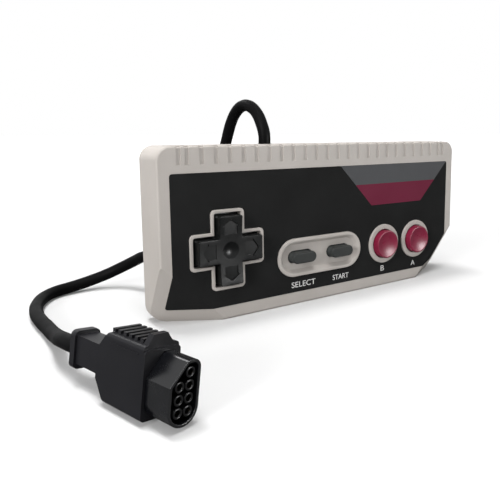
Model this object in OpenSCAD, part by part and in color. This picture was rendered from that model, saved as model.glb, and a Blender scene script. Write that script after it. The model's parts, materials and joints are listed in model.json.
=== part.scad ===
// Wired game controller: a slim two-shell case standing on its lower long edge, with a
// rocking cross, two round buttons and two small keys, and a long cord that ends in a plug.
// X runs along the case, Z is up and the front faces -Y. Depths are counted from the front face.

/* [Case] */
// Width of the case
body_w = 123; // [118:0.5:140]
// Height of the case
body_h = 53.4; // [52:0.2:66]
// Depth of the case from its front face to its back
body_d = 15.6; // [15:0.2:20]
// Depth of the back shell, from the seam to the back
back_shell_d = 3.2; // [2.8:0.1:4]
// Thickness of the walls and of the front face
wall = 2; // [1.6:0.1:2.4]
// Radius of the two upper corners
top_r = 4.2; // [4.2:0.2:8]
// Radius of the two lower corners
foot_r = 5; // [4.2:0.2:7]
// Rounding of the front edges
front_edge = 0.7; // [0.6:0.1:1.8]
// Rounding of the back edges
back_edge = 2; // [0.5:0.1:2]
// Width of each slanted lower corner facet
facet_w = 20.4; // [10:0.2:22]
// Height of each slanted lower corner facet
facet_h = 19.4; // [10:0.2:20]
// Depth of each facet at the case's corner
facet_d = 12; // [6:0.2:12]

/* [Grip grooves] */
// Number of evenly spaced grooves across the top edge
groove_count = 24; // [8:1:26]
// Distance between the grooves
groove_pitch = 4.56; // [3:0.02:4.6]
// Distance of the outermost extra groove from its neighbour
groove_end_step = 2.55; // [2:0.05:3]
// Width of a groove
groove_w = 1.35; // [0.6:0.05:1.6]
// Depth of a groove
groove_deep = 0.4; // [0.3:0.05:0.5]
// Length of a groove down the front face
groove_drop = 5.3; // [2:0.1:6]
// Length of a groove back over the top
groove_back = 8; // [4:0.2:9]

/* [Faceplate] */
// Distance of the faceplate's ends from the case's sides
plate_side = 3.6; // [3:0.1:5]
// Height of the faceplate's lower edge above the case's foot
plate_foot = 4.15; // [3:0.05:6]
// Distance of the faceplate's upper edge from the case's top
plate_head = 7.85; // [7:0.05:10]
// Thickness of the faceplate
plate_t = 0.8; // [0.5:0.05:1]
// Corner radius of the faceplate
plate_r = 0.9; // [0.4:0.1:2]
// Thickness of the two colour stripes let into the faceplate
stripe_t = 0.3; // [0.2:0.05:0.4]
// Distance of the stripes' upper end from the faceplate's end
stripe_side = 0.3; // [0.3:0.1:3]
// Width of the grey stripe along the faceplate's upper edge
stripe_top_w = 54; // [40:0.5:54]
// Height of the grey stripe
stripe_grey_h = 7; // [4:0.1:9]
// Height of the maroon stripe
stripe_maroon_h = 7.8; // [4:0.1:8]
// Slant of the stripes' ends, sideways for each millimetre down
stripe_slant = 0.97; // [0.5:0.01:1.1]

/* [Cross] */
// Distance of the cross's middle from the case's side
cross_side = 21.3; // [20:0.1:24]
// Height of the cross's middle
cross_z = 22; // [20:0.1:26]
// Length of each arm from the cross's middle
arm_l = 10.6; // [9:0.1:10.8]
// Width of each arm
arm_w = 7.6; // [6:0.1:8.4]
// How far the cross stands out of the front face
cross_proud = 2.9; // [1.8:0.1:3.2]
// Corner radius of the arms
arm_r = 0.6; // [0.3:0.1:1]
// Depth of the shallow hollow across the whole cross
cross_dish = 0.7; // [0.3:0.1:1]
// Gap between the cross and its opening
cross_gap = 0.75; // [0.35:0.05:1]
// Radius of the cross's hidden flange
cross_flange_r = 12.4; // [12:0.1:12.6]
// Depth of the point about which the cross rocks
pivot_depth = 2.2; // [2:0.05:2.4]
// Radius of the bead that the cross rocks on
bead_r = 1.8; // [1.5:0.05:1.9]
// Distance of the four contacts from the cross's middle
contact_ring = 8; // [7:0.1:8.4]

/* [Buttons] */
// Distance of the outer round button from the case's side
button_side = 21.1; // [20:0.05:24]
// Distance between the two round buttons
button_pitch = 16.4; // [16.3:0.1:18]
// Height of the buttons and the keys
button_z = 16; // [15.6:0.1:18]
// Radius of a round button
button_r = 5.15; // [4.5:0.05:5.4]
// How far a round button stands out of the front face
button_proud = 2.7; // [1.8:0.1:2.8]
// Depth of the hollow in a round button's face
button_dish = 0.7; // [0.3:0.1:1]
// Gap between a button or key and its opening
button_gap = 0.3; // [0.2:0.05:0.4]
// Outer radius of the collar around a round button
collar_r = 7.25; // [7:0.05:7.6]
// Distance between the middles of the two keys
key_pitch = 15.9; // [15:0.1:17]
// Distance of the point midway between the keys from the case's middle
key_x = 5.05; // [4:0.05:6]
// Length of a key
key_l = 9.4; // [8:0.1:10]
// Width of a key
key_w = 3.7; // [3.6:0.1:5]
// How far a key stands out of the front face
key_proud = 2.3; // [1.4:0.1:2.6]
// Length of the raised frame around both keys
frame_l = 34.9; // [34:0.1:38]
// Width of the raised frame around both keys
frame_w = 12.8; // [12:0.1:13.2]
// Height of the collars and rims in front of the faceplate
rim_proud = 0.6; // [0.3:0.05:0.8]
// Width of the rim around the cross
rim_w = 1; // [0.8:0.1:1.5]
// Outer corner radius of the rim around the cross
rim_r = 1.4; // [0.8:0.1:2.4]
// Thickness of the buttons' and keys' flanges
flange_t = 1; // [0.8:0.1:1.2]
// Gap between a flange and the wall in front of it
flange_gap = 0.3; // [0.2:0.05:0.4]

/* [Inside] */
// Depth of the circuit board's front face
board_depth = 9.2; // [9:0.05:9.4]
// Thickness of the circuit board
board_t = 1.6; // [1.2:0.1:1.8]
// Distance of the circuit board's ends from the case's sides
board_side = 7.5; // [6.5:0.1:8]
// Height of the circuit board's lower edge
board_foot = 9.8; // [9.4:0.1:10]
// Distance of the circuit board's upper edge from the case's top
board_head = 12.4; // [12:0.1:13]
// Thickness of a rubber sheet
sheet_t = 0.8; // [0.6:0.05:1]
// Depth of the rubber domes' tops
dome_depth = 5.6; // [5.4:0.05:5.8]
// Thickness of a contact pill
pill_t = 0.7; // [0.5:0.05:0.9]
// Radius of the case screws' shanks
screw_r = 1.15; // [0.9:0.05:1.3]
// Radius of the screw bosses
boss_r = 2.6; // [2.3:0.1:2.8]

/* [Cord] */
// Diameter of the cord
cord_d = 4; // [3.6:0.1:4.4]
// Distance of the cord's way out from the case's middle
cord_x = 21.2; // [19:0.1:24]
// Distance of the cord's way out from the case's back
cord_back = 6.1; // [6:0.1:6.6]
// Diameter of the cord coil at the middle of its turns
coil_d = 44.6; // [40:0.2:48]
// Width of the coil's bundle
coil_bundle_w = 20; // [16:0.5:24]
// Height of the coil's bundle
coil_bundle_h = 16; // [12:0.5:18]
// Thickness of the band that ties the coil
tie_t = 0.5; // [0.3:0.1:0.8]

/* [Plug] */
// Width of the plug's body
plug_w = 8.6; // [8.4:0.1:9.2]
// Height of the plug's body
plug_h = 14.9; // [14.5:0.1:15.5]
// Length of the plug's body along its foot
plug_l = 12.7; // [12.5:0.1:15]
// Length of the plug's hood in front of the end plate
hood_l = 7.4; // [6:0.1:9]
// Distance between the plug's sockets down a column
socket_pitch = 2.54; // [2.4:0.01:2.56]
// Distance between the two columns of sockets
socket_columns = 2.4; // [2.3:0.01:2.45]
// Radius of a socket's hole
socket_r = 0.6; // [0.5:0.05:0.65]

/* [Hidden] */
$fn = 48;
fit_gap = 0.05;
press_gap = 0.1;
cut_extra = 1;
// Half the side of a block that is larger than the whole case
beyond = 2 * max(body_w, body_h);

// Main planes, as depths behind the front face
front_y = -(body_d - cross_proud) / 2;
seam = body_d - back_shell_d;
back_inside = body_d - wall;
cord_depth = body_d - cord_back;

// Faceplate and stripes
plate_w = body_w - 2 * plate_side;
plate_h = body_h - plate_foot - plate_head;
plate_top = body_h - plate_head;
stripe_x = plate_w / 2 - stripe_side - stripe_top_w / 2;
stripe_mid_w = stripe_top_w - 2 * stripe_slant * stripe_grey_h;
stripe_low_w = stripe_mid_w - 2 * stripe_slant * stripe_maroon_h;

// Lip of the back shell inside the front shell
lip_gap = 0.15;
lip_t = 0.8;
lip_h = 1.2;
// Width of the lip's break where the cord goes by
lip_gate = 26;

// Buttons and keys
function key_at(side) = side * key_pitch / 2 - key_x;
button_x = body_w / 2 - button_side - button_pitch;
flange_front = wall + flange_gap;
flange_back = flange_front + flange_t;
button_travel = 1.4;
button_rim = 0.5;
key_travel = 1.2;
button_flange_r = 7;
button_plunger_r = 3;
button_stud_r = 3.2;
button_pill_r = 2.4;
sleeve_gap = 0.3;
sleeve_t = 0.8;
sleeve_back = 5.2;
key_flange_l = 12;
key_flange_w = 7;
key_plunger_r = 2;
key_stud_r = 2.2;
key_pill_r = 1.7;
key_chamfer = 0.3;
frame_rim = 1.1;
frame_floor_w = 8.4;
frame_sink = 0.8;

// Cross
cross_x = body_w / 2 - cross_side;
cross_opening_l = arm_l + cross_gap;
cross_opening_w = arm_w + 2 * cross_gap;
cross_flange_front = 3.3;
cross_flange_back = cross_flange_front + flange_t;
cross_foot_r = 2.2;
cross_pill_r = 1.8;
cross_stud_top = 6;
pill_clear = 0.7;
cross_pill_back = board_depth - pill_clear;
cup_gap = 0.15;
cup_mouth_r = 2.7;
dimple_r = 2.6;
dimple_deep = 0.9;
arrow_deep = 0.4;
arrow_start = 4.9;
arrow_neck = 7.4;
arrow_tip = 9.4;
arrow_shaft = 2.15;
arrow_head = 2.85;
post_r = 1.4;
post_base_r = 2.4;
post_sink = 1;
post_top = pivot_depth + post_sink;

// Rubber sheets
skirt_t = 0.6;
button_skirt_gap = 0.4;
cross_skirt_gap = 0.9;
skirt_flare = 0.8;
sheet_front = board_depth - sheet_t;
cross_sheet_r = 12.1;

// Circuit board
board_w = body_w - 2 * board_side;
board_h = body_h - board_foot - board_head;
board_top = board_foot + board_h;
board_back = board_depth + board_t;
board_screw_side = 4;
board_screw_head = 3.5;
board_screw_rise = 10;
board_screw_spread = 13;
board_screw_x = board_w / 2 - board_screw_side;
board_screw_high = board_top - board_screw_head;
board_screw_low = button_z + board_screw_rise;
board_screw_at = [
    [-board_screw_x, board_screw_high], [board_screw_x, board_screw_high],
    [-key_x - board_screw_spread, board_screw_low],
    [-key_x + board_screw_spread, board_screw_low]
];
board_post_r = 2.4;
board_screw_r = 0.9;
board_head_r = 1.8;
board_head_t = 1;
chip_x = -2;
chip_below = 10;
chip_at = [chip_x, board_top - chip_below];
chip_l = 11;
chip_w = 6;
chip_t = 2.4;
chip_stand = 0.6;
chip_legs_per_side = 8;
leg_pitch = 1.27;
leg_w = 0.5;
leg_reach = 1.2;
resistor_count = 4;
resistor_x = 16;
resistor_pitch = 4;
resistor_below = 5;
resistor_at = [
    for (i = [0:resistor_count - 1])
        [resistor_x + i * resistor_pitch, board_top - resistor_below]
];
resistor_l = 5;
resistor_r = 0.9;
resistor_stand = 0.4;
capacitor_side = 14;
capacitor_below = 6;
capacitor_at = [board_w / 2 - capacitor_side, board_top - capacitor_below];
capacitor_r = 2.5;
capacitor_h = 5;

// Case screws
case_screw_side = 9.5;
case_screw_head = 8.9;
case_screw_low = 7;
case_screw_mid = 6;
case_screw_by_key = 12;
case_screw_x = body_w / 2 - case_screw_side;
case_screw_high = body_h - case_screw_head;
case_screw_at = [
    [-case_screw_x, case_screw_high], [case_screw_x, case_screw_high],
    [case_screw_mid, case_screw_high], [key_at(-1) - case_screw_by_key, case_screw_low],
    [button_x + button_pitch / 2, case_screw_low]
];
head_r = 2.2;
head_t = 1.2;
head_sink = 1.6;
screw_front = 4.5;
boss_back_r = 3.3;
slot_w = 0.6;
slot_deep = 0.5;

// Cord inside the case
exit_y = front_y + cord_depth;
grommet_wall = 1;
grommet_r = cord_d / 2 + grommet_wall;
grommet_flange_w = 1.2;
grommet_flange_r = grommet_r + grommet_flange_w;
grommet_flange_t = 1.6;
lead_clear = 3.5;
lead_foot = board_top + lead_clear;
// The lead ends just short of the free cord, whose first ring leans a little
lead_gap = 0.25;
lead_tie_t = 1.6;
lead_tie_r = 3.2;
socket_w = 10;
socket_h = 5;
socket_t = 3.5;
wire_r = 0.45;
wire_count = 5;
wire_pitch = 1.7;

// Plug: where its lower left front corner stands, and how it is turned
plug_turn = 16;
plug_lean = 8;
plug_at = [-83.8, -52.9, plug_w * sin(plug_lean)];
plate_front = 0.6;
plate_top_gap = 0.7;
plug_r = 0.9;
back_slope = 3.4;
neck_x = 3.95;
neck_w = 5.1;
neck_foot = 4.5;
neck_top = 11;
cuff_w = 6.2;
cuff_foot = 3.1;
cuff_top = 11.9;
cuff_front = 26.6;
cuff_end = 28.5;
cuff_r = 1.3;
cord_entry = 7;
rib_count = 6;
rib_pitch = 1.95;
rib_start = 2.4;
rib_w = 0.95;
rib_h = 0.8;
grip_left = 1.5;
grip_right = 0.7;
block_h = 2.1;
block_t = 1.6;
block_lean = 1.4;
ledge_t = 0.15;
hood_side = 0.65;
hood_top = 13.4;
hood_foot = 0.4;
hood_cut_x = 3.9;
hood_cut_z = 4.6;
hood_corner_r = 1.8;
hood_wall = 0.65;
hood_seat = 3;
insert_floor = 2;
tube_r = 1.1;
tube_back = 0.15;
socket_foot = 3.35;
sleeve_wall = 0.2;
sleeve_sink = 2;

// Route of the cord from the top of the case to the coil, and from the coil to the plug
tube_sides = 12;
coil_at = [0, 55];
tie_angle = 14;
arch_route = [
    [-21.2, exit_y, body_h], [-21.2, 3.3, 56.6], [-21.4, 4.6, 60], [-21.6, 7, 63.3],
    [-21.9, 10, 65.4], [-22.1, 13.4, 66.3], [-22.4, 17, 65.8], [-22.8, 20.2, 63.8],
    [-23.2, 22.7, 60.6], [-23.6, 24.9, 56], [-24.2, 27.2, 49.6], [-25.1, 29, 42],
    [-26.1, 29.9, 35], [-27, 30.3, 28], [-27.8, 30.4, 21.5], [-28.6, 30.4, 15.5],
    [-29.2, 30.6, 10.5], [-30, 31.7, 6.3], [-31.2, 34.7, 3.2], [-32.4, 38.9, 2],
    [-32.7, 44, 2], [-32, 49, 2]
];
run_route = [
    [-12, 24.5, 14], [-20, 24.5, 14], [-29, 25, 14], [-37, 26.2, 14], [-44.8, 29, 14],
    [-48.9, 33.1, 13.9], [-51.3, 38, 12.9], [-53, 42.9, 10.7], [-56.2, 47.3, 8],
    [-61, 50.5, 5.3], [-67, 51.7, 3.4], [-73, 51.2, 2.4], [-78.8, 49.2, 2.1],
    [-83, 45.2, 2], [-85.7, 39.9, 2], [-87.6, 33.6, 2], [-88.5, 26.8, 2],
    [-88.6, 19.5, 2], [-88.2, 12.5, 2.1], [-88, 5.5, 2.4], [-88.1, -1.5, 3.6],
    [-88.8, -8.4, 5.5], [-89.1, -14, 7], [-88.4, -19.3, 7.6]
];

// Places children drawn in X and Z between two depths
module slab(d0, d1) {
    translate([0, front_y + d1, 0])
    rotate([90, 0, 0])
    linear_extrude(d1 - d0)
    children();
}

// Places a turned piece at X and Z, its axis toward the front, its own zero at a depth
module facing(x, z, depth = 0) {
    translate([x, front_y + depth, z])
    rotate([90, 0, 0])
    children();
}

// A sheet in X and Z that reaches past the case on every side
module everywhere() {
    square(2 * beyond, center = true);
}

module pin(x, z, d0, d1, r) {
    facing(x, z, d1) cylinder(r = r, h = d1 - d0);
}

module both_sides() {
    children();
    mirror([1, 0, 0]) children();
}

// A rectangle in X and Z with round corners
module rounded_plate(x0, z0, w, h, r) {
    translate([x0 + r, z0]) square([w - 2 * r, h]);
    translate([x0, z0 + r]) square([w, h - 2 * r]);
    for (x = [x0 + r, x0 + w - r], z = [z0 + r, z0 + h - r]) {
        translate([x, z]) circle(r);
    }
}

module case_outline(inset) {
    w = body_w - 2 * inset;
    low_r = foot_r - inset;
    high_r = top_r - inset;
    translate([low_r - w / 2, inset]) square([w - 2 * low_r, low_r]);
    translate([-w / 2, foot_r]) square([w, body_h - foot_r - top_r]);
    translate([high_r - w / 2, body_h - top_r]) square([w - 2 * high_r, high_r]);
    for (side = [-1, 1]) {
        translate([side * (w / 2 - low_r), foot_r]) circle(low_r);
        translate([side * (w / 2 - high_r), body_h - top_r]) circle(high_r);
    }
}

// Half of a band between two depths, its outer corners rounded; drawn outward and forward
module band_half(reach, d0, d1, e0, e1) {
    translate([0, e1 - d1]) square([reach, d1 - d0 - e0 - e1]);
    if (e0 > 0) {
        translate([0, -d0 - e0]) square([reach - e0, e0]);
        intersection() {
            translate([reach - e0, -d0 - e0]) circle(e0);
            translate([reach - e0, -d0 - e0]) square(e0);
        }
    }
    if (e1 > 0) {
        translate([0, -d1]) square([reach - e1, e1]);
        intersection() {
            translate([reach - e1, e1 - d1]) circle(e1);
            translate([reach - e1, -d1]) square(e1);
        }
    }
}

// Solid of the case between two depths, with its edges rounded at both
module case_solid(d0, d1, e0, e1) {
    both_sides() {
        facing(body_w / 2 - top_r, body_h - top_r)
        rotate_extrude(angle = 90)
        band_half(top_r, d0, d1, e0, e1);
        facing(body_w / 2 - foot_r, foot_r)
        rotate([0, 0, -90])
        rotate_extrude(angle = 90)
        band_half(foot_r, d0, d1, e0, e1);
        facing(0, body_h - top_r)
        rotate([90, 0, 0])
        linear_extrude(body_h - top_r - foot_r)
        band_half(body_w / 2, d0, d1, e0, e1);
    }
    facing(top_r - body_w / 2, body_h / 2)
    rotate([90, 0, 90])
    linear_extrude(body_w - 2 * top_r)
    band_half(body_h / 2, d0, d1, e0, e1);
    facing(body_w / 2 - foot_r, body_h / 2)
    rotate([90, 0, -90])
    linear_extrude(body_w - 2 * foot_r)
    band_half(body_h / 2, d0, d1, e0, e1);
}

// Everything outside the two slanted lower corner facets, moved inward by an inset
module facet_cut(inset) {
    normal = [-1 / facet_w, -1 / facet_d, -1 / facet_h];
    lean = acos(normal[2] / norm(normal));
    turn = atan2(normal[1], normal[0]);
    both_sides() {
        translate([-body_w / 2, front_y, facet_h])
        rotate([0, lean, turn])
        translate([-beyond, -beyond, -inset])
        cube([2 * beyond, 2 * beyond, beyond]);
    }
}

// The case's block behind a skin of a thickness, facets included
module core(skin) {
    difference() {
        slab(skin, body_d) everywhere();
        facet_cut(skin);
    }
}

module plate_form(grow) {
    difference() {
        slab(-cut_extra, facet_d)
        rounded_plate(-plate_w / 2 - grow, plate_foot - grow, plate_w + 2 * grow,
            plate_h + 2 * grow, plate_r + grow);
        core(plate_t);
    }
}

// A bar with full round ends, in X and Z about the middle
module bar_outline(l, w) {
    square([l - w, w], center = true);
    for (side = [-1, 1]) {
        translate([side * (l - w) / 2, 0]) circle(w / 2);
    }
}

// A cross in X and Z about the middle, the ends of its arms with round corners
module cross_outline(l, w, r) {
    rounded_plate(-l, -w / 2, 2 * l, w, r);
    rounded_plate(-w / 2, -l, w, 2 * l, r);
}

module rims_outline(grow) {
    for (x = [button_x, button_x + button_pitch]) {
        translate([x, button_z]) circle(collar_r + grow);
    }
    translate([-key_x, button_z]) bar_outline(frame_l + 2 * grow, frame_w + 2 * grow);
    translate([-cross_x, cross_z])
    cross_outline(cross_opening_l + rim_w + grow, cross_opening_w + 2 * (rim_w + grow),
        rim_r + grow);
}

// Recess between the keys, its wall leaning in down to its floor
module frame_recess() {
    top_w = frame_w - 2 * frame_rim;
    deep = frame_sink + rim_proud;
    straight = frame_l - frame_w;
    facing(-key_x, button_z, frame_sink) {
        for (side = [-1, 1]) {
            translate([side * straight / 2, 0, 0])
            cylinder(h = deep, r1 = frame_floor_w / 2, r2 = top_w / 2);
        }
        translate([-straight / 2, 0, 0])
        rotate([90, 0, 90])
        linear_extrude(straight)
        polygon([
            [-frame_floor_w / 2, 0], [frame_floor_w / 2, 0],
            [top_w / 2, deep], [-top_w / 2, deep]
        ]);
    }
}

module groove(x) {
    bend_r = front_edge - groove_deep;
    top = body_h - groove_deep;
    facing(x - groove_w / 2, 0)
    rotate([90, 0, 90])
    linear_extrude(groove_w)
    difference() {
        translate([body_h - groove_drop, -groove_back])
        square([groove_drop + cut_extra, groove_back + cut_extra]);
        translate([0, -groove_back - cut_extra])
        square([top - bend_r, groove_back + cut_extra - groove_deep]);
        translate([0, -groove_back - cut_extra])
        square([top, groove_back + cut_extra - groove_deep - bend_r]);
        translate([top - bend_r, -groove_deep - bend_r]) circle(bend_r);
    }
}

module grooves() {
    last_x = (groove_count - 1) * groove_pitch / 2;
    for (i = [0:groove_count - 1]) {
        groove(i * groove_pitch - last_x);
    }
    groove(-last_x - groove_end_step);
    groove(last_x + groove_end_step);
}

module cord_slot(gap) {
    translate([-cord_x, exit_y, 0])
    cylinder(r = grommet_r + gap, h = beyond);
    translate([-cord_x - grommet_r - gap, exit_y, 0])
    cube([2 * (grommet_r + gap), seam - cord_depth, beyond]);
}

module front_shell() {
    color("silver")
    difference() {
        union() {
            difference() {
                case_solid(0, seam, front_edge, 0);
                slab(wall, seam + cut_extra) case_outline(wall);
                plate_form(fit_gap);
            }
            difference() {
                slab(-rim_proud, wall) rims_outline(0);
                facet_cut(0);
            }
            for (x = [button_x, button_x + button_pitch]) {
                pin(x, button_z, plate_t, sleeve_back, button_flange_r + sleeve_gap + sleeve_t);
            }
            for (at = case_screw_at) {
                pin(at[0], at[1], plate_t, seam, boss_r);
            }
            for (at = board_screw_at) {
                pin(at[0], at[1], plate_t, board_depth, board_post_r);
            }
            facet_walls();
        }
        facet_cut(0);
        grooves();
        frame_recess();
        front_openings();
        for (at = case_screw_at) {
            pin(at[0], at[1], screw_front - cut_extra, seam + cut_extra, screw_r + fit_gap);
        }
        for (at = board_screw_at) {
            pin(at[0], at[1], wall + cut_extra, board_depth + cut_extra, board_screw_r + fit_gap);
        }
        intersection() {
            cord_slot(fit_gap);
            translate([-beyond, front_y, body_h - wall - cut_extra])
            cube([2 * beyond, body_d, beyond]);
        }
    }
}

// Skin behind each facet, as thick as the other walls
module facet_walls() {
    difference() {
        slab(plate_t, seam) case_outline(wall / 2);
        difference() {
            slab(0, seam + cut_extra) everywhere();
            facet_cut(wall);
        }
        plate_form(fit_gap);
    }
}

module front_openings() {
    for (x = [button_x, button_x + button_pitch]) {
        pin(x, button_z, -rim_proud - cut_extra, wall + cut_extra, button_r + button_gap);
        pin(x, button_z, wall, sleeve_back + cut_extra, button_flange_r + sleeve_gap);
    }
    for (side = [-1, 1]) {
        slab(-rim_proud, wall + cut_extra)
        translate([key_at(side), button_z])
        bar_outline(key_l + 2 * button_gap, key_w + 2 * button_gap);
    }
    slab(-rim_proud - cut_extra, wall + cut_extra)
    translate([-cross_x, cross_z])
    cross_outline(cross_opening_l, cross_opening_w, arm_r);
}

module back_boss(at) {
    pin(at[0], at[1], seam, back_inside + fit_gap, boss_back_r);
}

module rear_shell() {
    color("silver")
    difference() {
        union() {
            difference() {
                case_solid(seam, body_d, 0, back_edge);
                slab(seam - cut_extra, back_inside) case_outline(wall);
            }
            difference() {
                slab(seam - lip_h, back_inside) case_outline(wall + lip_gap);
                slab(seam - lip_h - cut_extra, back_inside + cut_extra)
                case_outline(wall + lip_gap + lip_t);
                facet_cut(wall + lip_gap);
                translate([-cord_x - lip_gate / 2, front_y, lead_foot])
                cube([lip_gate, body_d, beyond]);
            }
            for (at = case_screw_at) {
                back_boss(at);
            }
            pin(-cross_x, cross_z, board_back + fit_gap, back_inside + fit_gap, post_base_r);
            pin(-cross_x, cross_z, post_top, back_inside, post_r);
        }
        for (at = case_screw_at) {
            pin(at[0], at[1], seam - cut_extra, body_d, screw_r + press_gap);
            pin(at[0], at[1], body_d - head_sink, body_d + cut_extra, head_r + press_gap);
        }
        facing(-cross_x, cross_z, pivot_depth) sphere(bead_r + cup_gap);
        facet_cut(0);
    }
}

module stripe_outline(top, top_w, low_w, h) {
    polygon([
        [stripe_x - top_w / 2, top], [stripe_x + top_w / 2, top],
        [stripe_x + low_w / 2, top - h], [stripe_x - low_w / 2, top - h]
    ]);
}

module faceplate() {
    color("#222222")
    difference() {
        plate_form(0);
        facet_cut(0);
        slab(-2 * cut_extra, 0) everywhere();
        slab(-cut_extra, wall) rims_outline(fit_gap);
        slab(-cut_extra, stripe_t) {
            stripe_outline(plate_top, stripe_top_w, stripe_mid_w, stripe_grey_h);
            stripe_outline(plate_top - stripe_grey_h, stripe_mid_w, stripe_low_w,
                stripe_maroon_h);
        }
    }
}

module grey_stripe() {
    color("#55585a")
    slab(0, stripe_t)
    stripe_outline(plate_top, stripe_top_w, stripe_mid_w, stripe_grey_h);
}

module maroon_stripe() {
    color("#73263e")
    slab(0, stripe_t)
    stripe_outline(plate_top - stripe_grey_h, stripe_mid_w, stripe_low_w, stripe_maroon_h);
}

// Cross: arms and flange, four feet, and a cup behind that rocks on the bead
module cross() {
    color("#2b2b2b")
    difference() {
        union() {
            slab(-cross_proud, cross_flange_front)
            translate([-cross_x, cross_z])
            cross_outline(arm_l, arm_w, arm_r);
            pin(-cross_x, cross_z, cross_flange_front, cross_flange_back, cross_flange_r);
            at_contacts()
            pin(0, 0, cross_flange_back, cross_stud_top, cross_foot_r);
        }
        facing(-cross_x, cross_z, pivot_depth) sphere(bead_r + cup_gap);
        pin(-cross_x, cross_z, pivot_depth, cross_stud_top, cup_mouth_r);
        dish(-cross_x, cross_z, -cross_proud, norm([arm_l, arm_w / 2]), cross_dish);
        dish(-cross_x, cross_z, cross_dish - cross_proud, dimple_r, dimple_deep);
        slab(-cross_proud - cut_extra, cross_dish / 2 + arrow_deep - cross_proud)
        translate([-cross_x, cross_z])
        for (turn = [0:90:270]) {
            rotate(turn) arrow_outline();
        }
    }
}

module arrow_outline() {
    polygon([
        [arrow_start, -arrow_shaft], [arrow_neck, -arrow_shaft], [arrow_neck, -arrow_head],
        [arrow_tip, 0],
        [arrow_neck, arrow_head], [arrow_neck, arrow_shaft], [arrow_start, arrow_shaft]
    ]);
}

// Ball that hollows a face out to a depth at its middle, and over a radius at the face
module dish(x, z, face, r, deep) {
    ball_r = (pow(r, 2) + pow(deep, 2)) / (2 * deep);
    facing(x, z, face + deep - ball_r) sphere(ball_r);
}

// Repeats a piece at the cross's four contacts
module at_contacts() {
    for (step = [[-1, 0], [1, 0], [0, -1], [0, 1]]) {
        translate([step[0] * contact_ring - cross_x, 0, step[1] * contact_ring + cross_z])
        children();
    }
}

module cross_bead() {
    color("white")
    facing(-cross_x, cross_z, pivot_depth) sphere(bead_r);
}

module cross_studs() {
    color("gray")
    at_contacts()
    pin(0, 0, cross_stud_top, cross_pill_back - pill_t, cross_foot_r);
}

module cross_pills() {
    color("#202020")
    at_contacts()
    pin(0, 0, cross_pill_back - pill_t, cross_pill_back, cross_pill_r);
}

module round_button(x) {
    color("#82283f") {
        difference() {
            pin(x, button_z, -button_proud, flange_back, button_r);
            dish(x, button_z, -button_proud, button_r - button_rim, button_dish);
        }
        pin(x, button_z, flange_front, flange_back, button_flange_r);
        pin(x, button_z, flange_back, dome_depth, button_plunger_r);
    }
}

module stud(x, r, travel) {
    color("gray")
    pin(x, button_z, dome_depth, pill_front(travel), r);
}

module pill(x, r, travel) {
    color("#202020")
    pin(x, button_z, pill_front(travel), pill_front(travel) + pill_t, r);
}

function pill_front(travel) = board_depth - press_gap - travel - pill_t;

module button_b() {
    round_button(button_x);
}

module stud_b() {
    stud(button_x, button_stud_r, button_travel);
}

module pill_b() {
    pill(button_x, button_pill_r, button_travel);
}

module button_a() {
    round_button(button_x + button_pitch);
}

module stud_a() {
    stud(button_x + button_pitch, button_stud_r, button_travel);
}

module pill_a() {
    pill(button_x + button_pitch, button_pill_r, button_travel);
}

// A key: a bar with chamfered edges, its flange and its plunger
module small_key(x) {
    low_w = key_w - 2 * key_chamfer;
    straight = key_l - key_w;
    shoulder = key_proud - key_chamfer;
    color("#414644") {
        slab(-shoulder, flange_back) translate([x, button_z]) bar_outline(key_l, key_w);
        facing(x, button_z, -shoulder) {
            for (side = [-1, 1]) {
                translate([side * straight / 2, 0, 0])
                cylinder(h = key_chamfer, r1 = key_w / 2, r2 = low_w / 2);
            }
            translate([-straight / 2, 0, 0])
            rotate([90, 0, 90])
            linear_extrude(straight)
            polygon([
                [-key_w / 2, 0], [key_w / 2, 0],
                [low_w / 2, key_chamfer], [-low_w / 2, key_chamfer]
            ]);
        }
        slab(flange_front, flange_back)
        translate([x, button_z])
        square([key_flange_l, key_flange_w], center = true);
        pin(x, button_z, flange_back, dome_depth, key_plunger_r);
    }
}

module select_key() {
    small_key(key_at(-1));
}

module stud_select() {
    stud(key_at(-1), key_stud_r, key_travel);
}

module pill_select() {
    pill(key_at(-1), key_pill_r, key_travel);
}

module start_key() {
    small_key(key_at(1));
}

module stud_start() {
    stud(key_at(1), key_stud_r, key_travel);
}

module pill_start() {
    pill(key_at(1), key_pill_r, key_travel);
}

// Sloping rubber wall around a stud, from the sheet forward, open at its small end
module skirt(x, z, r, front) {
    tall = sheet_front - front;
    facing(x, z, sheet_front)
    rotate_extrude()
    polygon([
        [r + skirt_flare, 0], [r + skirt_flare + skirt_t, 0],
        [r + skirt_t, tall], [r, tall]
    ]);
}

module sheet(x0, z0, w, h, seats, hole_r, front) {
    color("#8a8a88") {
        difference() {
            slab(sheet_front, board_depth) translate([x0, z0]) square([w, h]);
            for (at = seats) {
                pin(at[0], at[1], sheet_front - cut_extra, board_depth + cut_extra,
                    hole_r + skirt_flare);
            }
        }
        for (at = seats) {
            skirt(at[0], at[1], hole_r, front);
        }
    }
}

module button_sheet() {
    hole_r = button_stud_r + button_skirt_gap;
    side = 2 * (hole_r + skirt_flare + skirt_t + press_gap);
    sheet(button_x - side / 2, button_z - side / 2, button_pitch + side, side,
        [[button_x, button_z], [button_x + button_pitch, button_z]],
        hole_r, dome_depth + press_gap);
}

module key_sheet() {
    hole_r = key_stud_r + button_skirt_gap;
    side = 2 * (hole_r + skirt_flare + skirt_t + press_gap);
    sheet(key_at(-1) - side / 2, button_z - side / 2, key_pitch + side, side,
        [[key_at(-1), button_z], [key_at(1), button_z]], hole_r, dome_depth + press_gap);
}

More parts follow.
